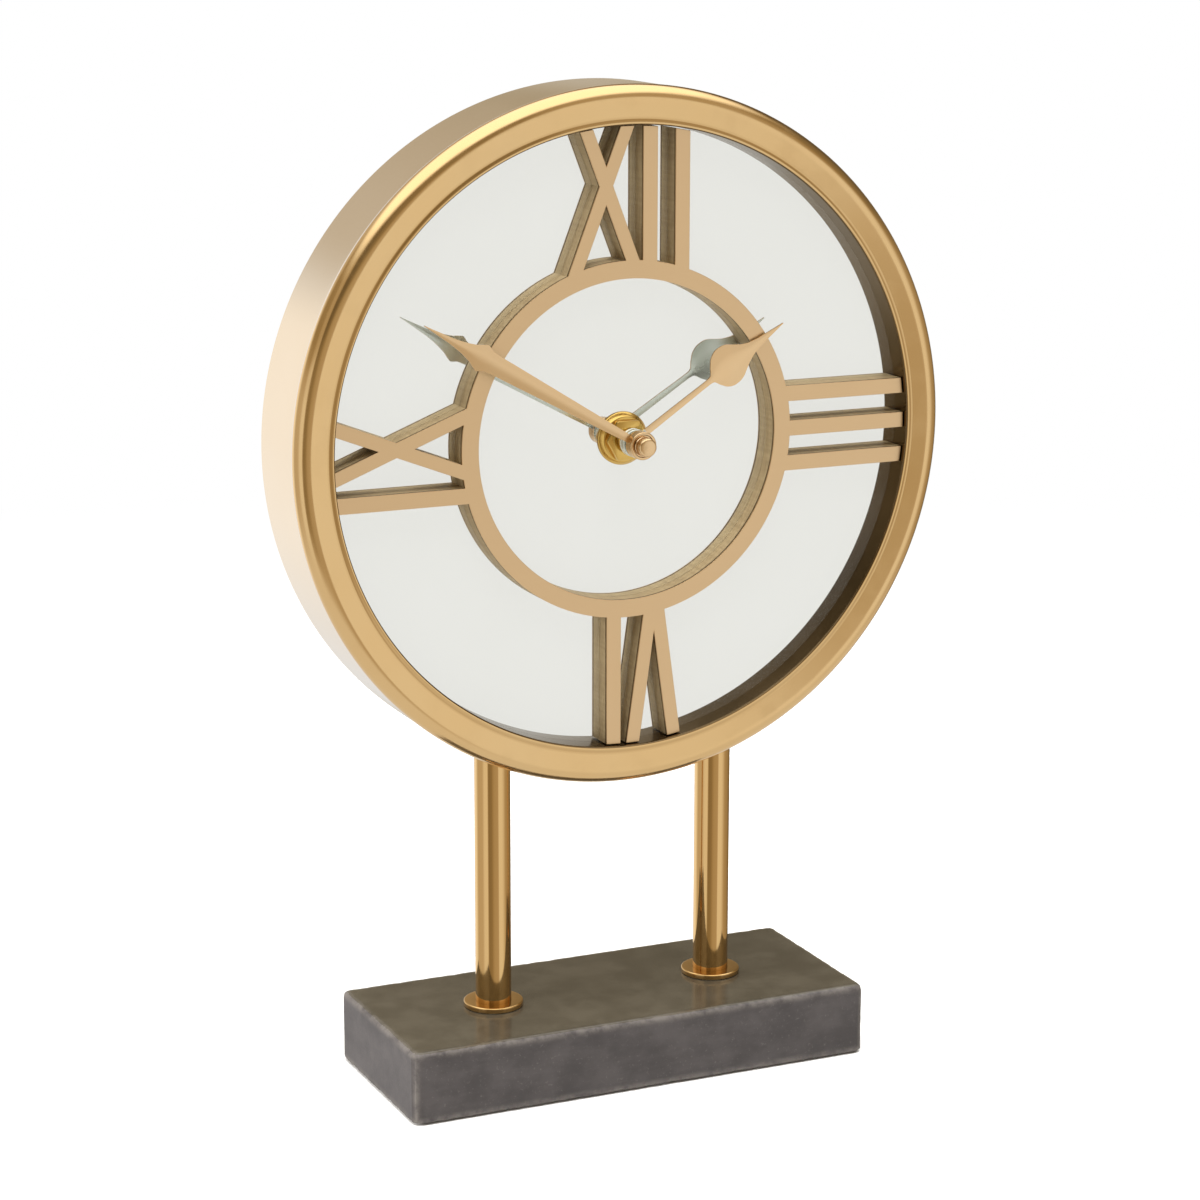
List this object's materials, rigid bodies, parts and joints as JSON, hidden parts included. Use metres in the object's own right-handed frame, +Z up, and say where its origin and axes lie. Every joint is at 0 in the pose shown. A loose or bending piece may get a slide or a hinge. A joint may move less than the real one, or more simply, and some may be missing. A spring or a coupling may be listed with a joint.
{
  "type": "mantel clock",
  "caption": "Round mantel clock with a mirror dial, open Roman numerals and turning hands, held on two posts above a stone block.",
  "frame": {"origin": "centre of the underside of the base, on the surface the clock stands on", "axes": "+Z up; the dial faces -Y; +X towards the numeral III"},
  "size_m": [0.25, 0.0754, 0.3629],
  "materials": {
    "polished_gold": "polished",
    "brushed_gold": "brushed",
    "satin_gold": "satin",
    "hand_gold": "satin",
    "fret_edge": "satin",
    "brass": "polished",
    "stone": "honed",
    "felt": "matt",
    "mirror": "polished",
    "hardboard": "matt",
    "black_cover": "satin",
    "black_plastic": "matt",
    "white_plastic": "satin",
    "rubber": "matt",
    "steel": "satin",
    "copper_wire": "satin",
    "circuit_board": "satin",
    "battery_jacket": "gloss"
  },
  "bodies": {
    "stand_and_case": {"base_block": "stone", "base_pad": "felt", "post_left": "polished_gold", "post_right": "polished_gold", "post_collar_left": "polished_gold", "post_collar_right": "polished_gold", "tie_rod_left": "steel", "tie_rod_right": "steel", "base_washer_left": "steel", "base_washer_right": "steel", "base_nut_left": "steel", "base_nut_right": "steel", "case_washer_left": "steel", "case_washer_right": "steel", "case_nut_left": "steel", "case_nut_right": "steel", "mounting_bar": "steel", "case_shell": "brushed_gold", "mirror_dial": "mirror", "dial_backing": "hardboard", "chapter_ring": "fret_edge", "chapter_ring_face": "satin_gold", "back_cover": "black_cover", "spacer_block_1": "hardboard", "spacer_block_2": "hardboard", "spacer_block_3": "hardboard", "spacer_block_4": "hardboard", "cover_screw_1": "steel", "cover_screw_2": "steel", "cover_screw_3": "steel", "cover_screw_4": "steel", "movement_case": "black_plastic", "movement_cover": "black_plastic", "threaded_bush": "brass", "rubber_washer": "rubber", "dial_washer": "brass", "fixing_nut": "brass", "stator": "steel", "coil": "copper_wire", "circuit_board": "circuit_board", "quartz_crystal": "steel", "contact_negative": "steel", "contact_positive": "steel"},
    "minute_work": {"minute_arbor": "brass", "minute_hand": "hand_gold", "hand_nut": "brass"},
    "hour_work": {"hour_wheel": "white_plastic", "hour_hand": "hand_gold"},
    "motion_work": {"motion_wheel": "white_plastic"},
    "setting_knob": {"set_knob": "white_plastic"},
    "third_work": {"third_wheel": "white_plastic"},
    "seconds_work": {"seconds_wheel": "white_plastic"},
    "motor_rotor": {"rotor": "steel"},
    "cell": {"battery": "battery_jacket"}
  },
  "joints": [
    {"name": "minute_hand", "type": "hinge", "parent": "stand_and_case", "child": "minute_work", "pos_m": [0, -0.015, 0.2379], "axis": [0, 1, 0], "continuous": true},
    {"name": "hour_hand", "type": "hinge", "parent": "stand_and_case", "child": "hour_work", "pos_m": [0, -0.015, 0.2379], "axis": [0, 1, 0], "continuous": true},
    {"name": "motion_wheel", "type": "hinge", "parent": "stand_and_case", "child": "motion_work", "pos_m": [-0.00831, -0.015, 0.2427], "axis": [0, 1, 0], "continuous": true},
    {"name": "set_knob", "type": "hinge", "parent": "stand_and_case", "child": "setting_knob", "pos_m": [-0.0151, -0.015, 0.23591], "axis": [0, 1, 0], "continuous": true},
    {"name": "third_wheel", "type": "hinge", "parent": "stand_and_case", "child": "third_work", "pos_m": [0.00772, -0.015, 0.24235], "axis": [0, 1, 0], "continuous": true},
    {"name": "seconds_wheel", "type": "hinge", "parent": "stand_and_case", "child": "seconds_work", "pos_m": [0.00772, -0.015, 0.25077], "axis": [0, 1, 0], "continuous": true},
    {"name": "motor_rotor", "type": "hinge", "parent": "stand_and_case", "child": "motor_rotor", "pos_m": [-0.006, -0.015, 0.2544], "axis": [0, 1, 0], "continuous": true},
    {"name": "battery_slide", "type": "slide", "parent": "stand_and_case", "child": "cell", "axis": [0, 1, 0], "range_m": [0, 0.03]}
  ],
  "couplings": [
    {"joint": "hour_hand", "follows": "minute_hand", "ratio": 0.083333},
    {"joint": "motion_wheel", "follows": "minute_hand", "ratio": -0.33333},
    {"joint": "set_knob", "follows": "minute_hand", "ratio": 1},
    {"joint": "third_wheel", "follows": "minute_hand", "ratio": -8},
    {"joint": "seconds_wheel", "follows": "minute_hand", "ratio": 60}
  ]
}
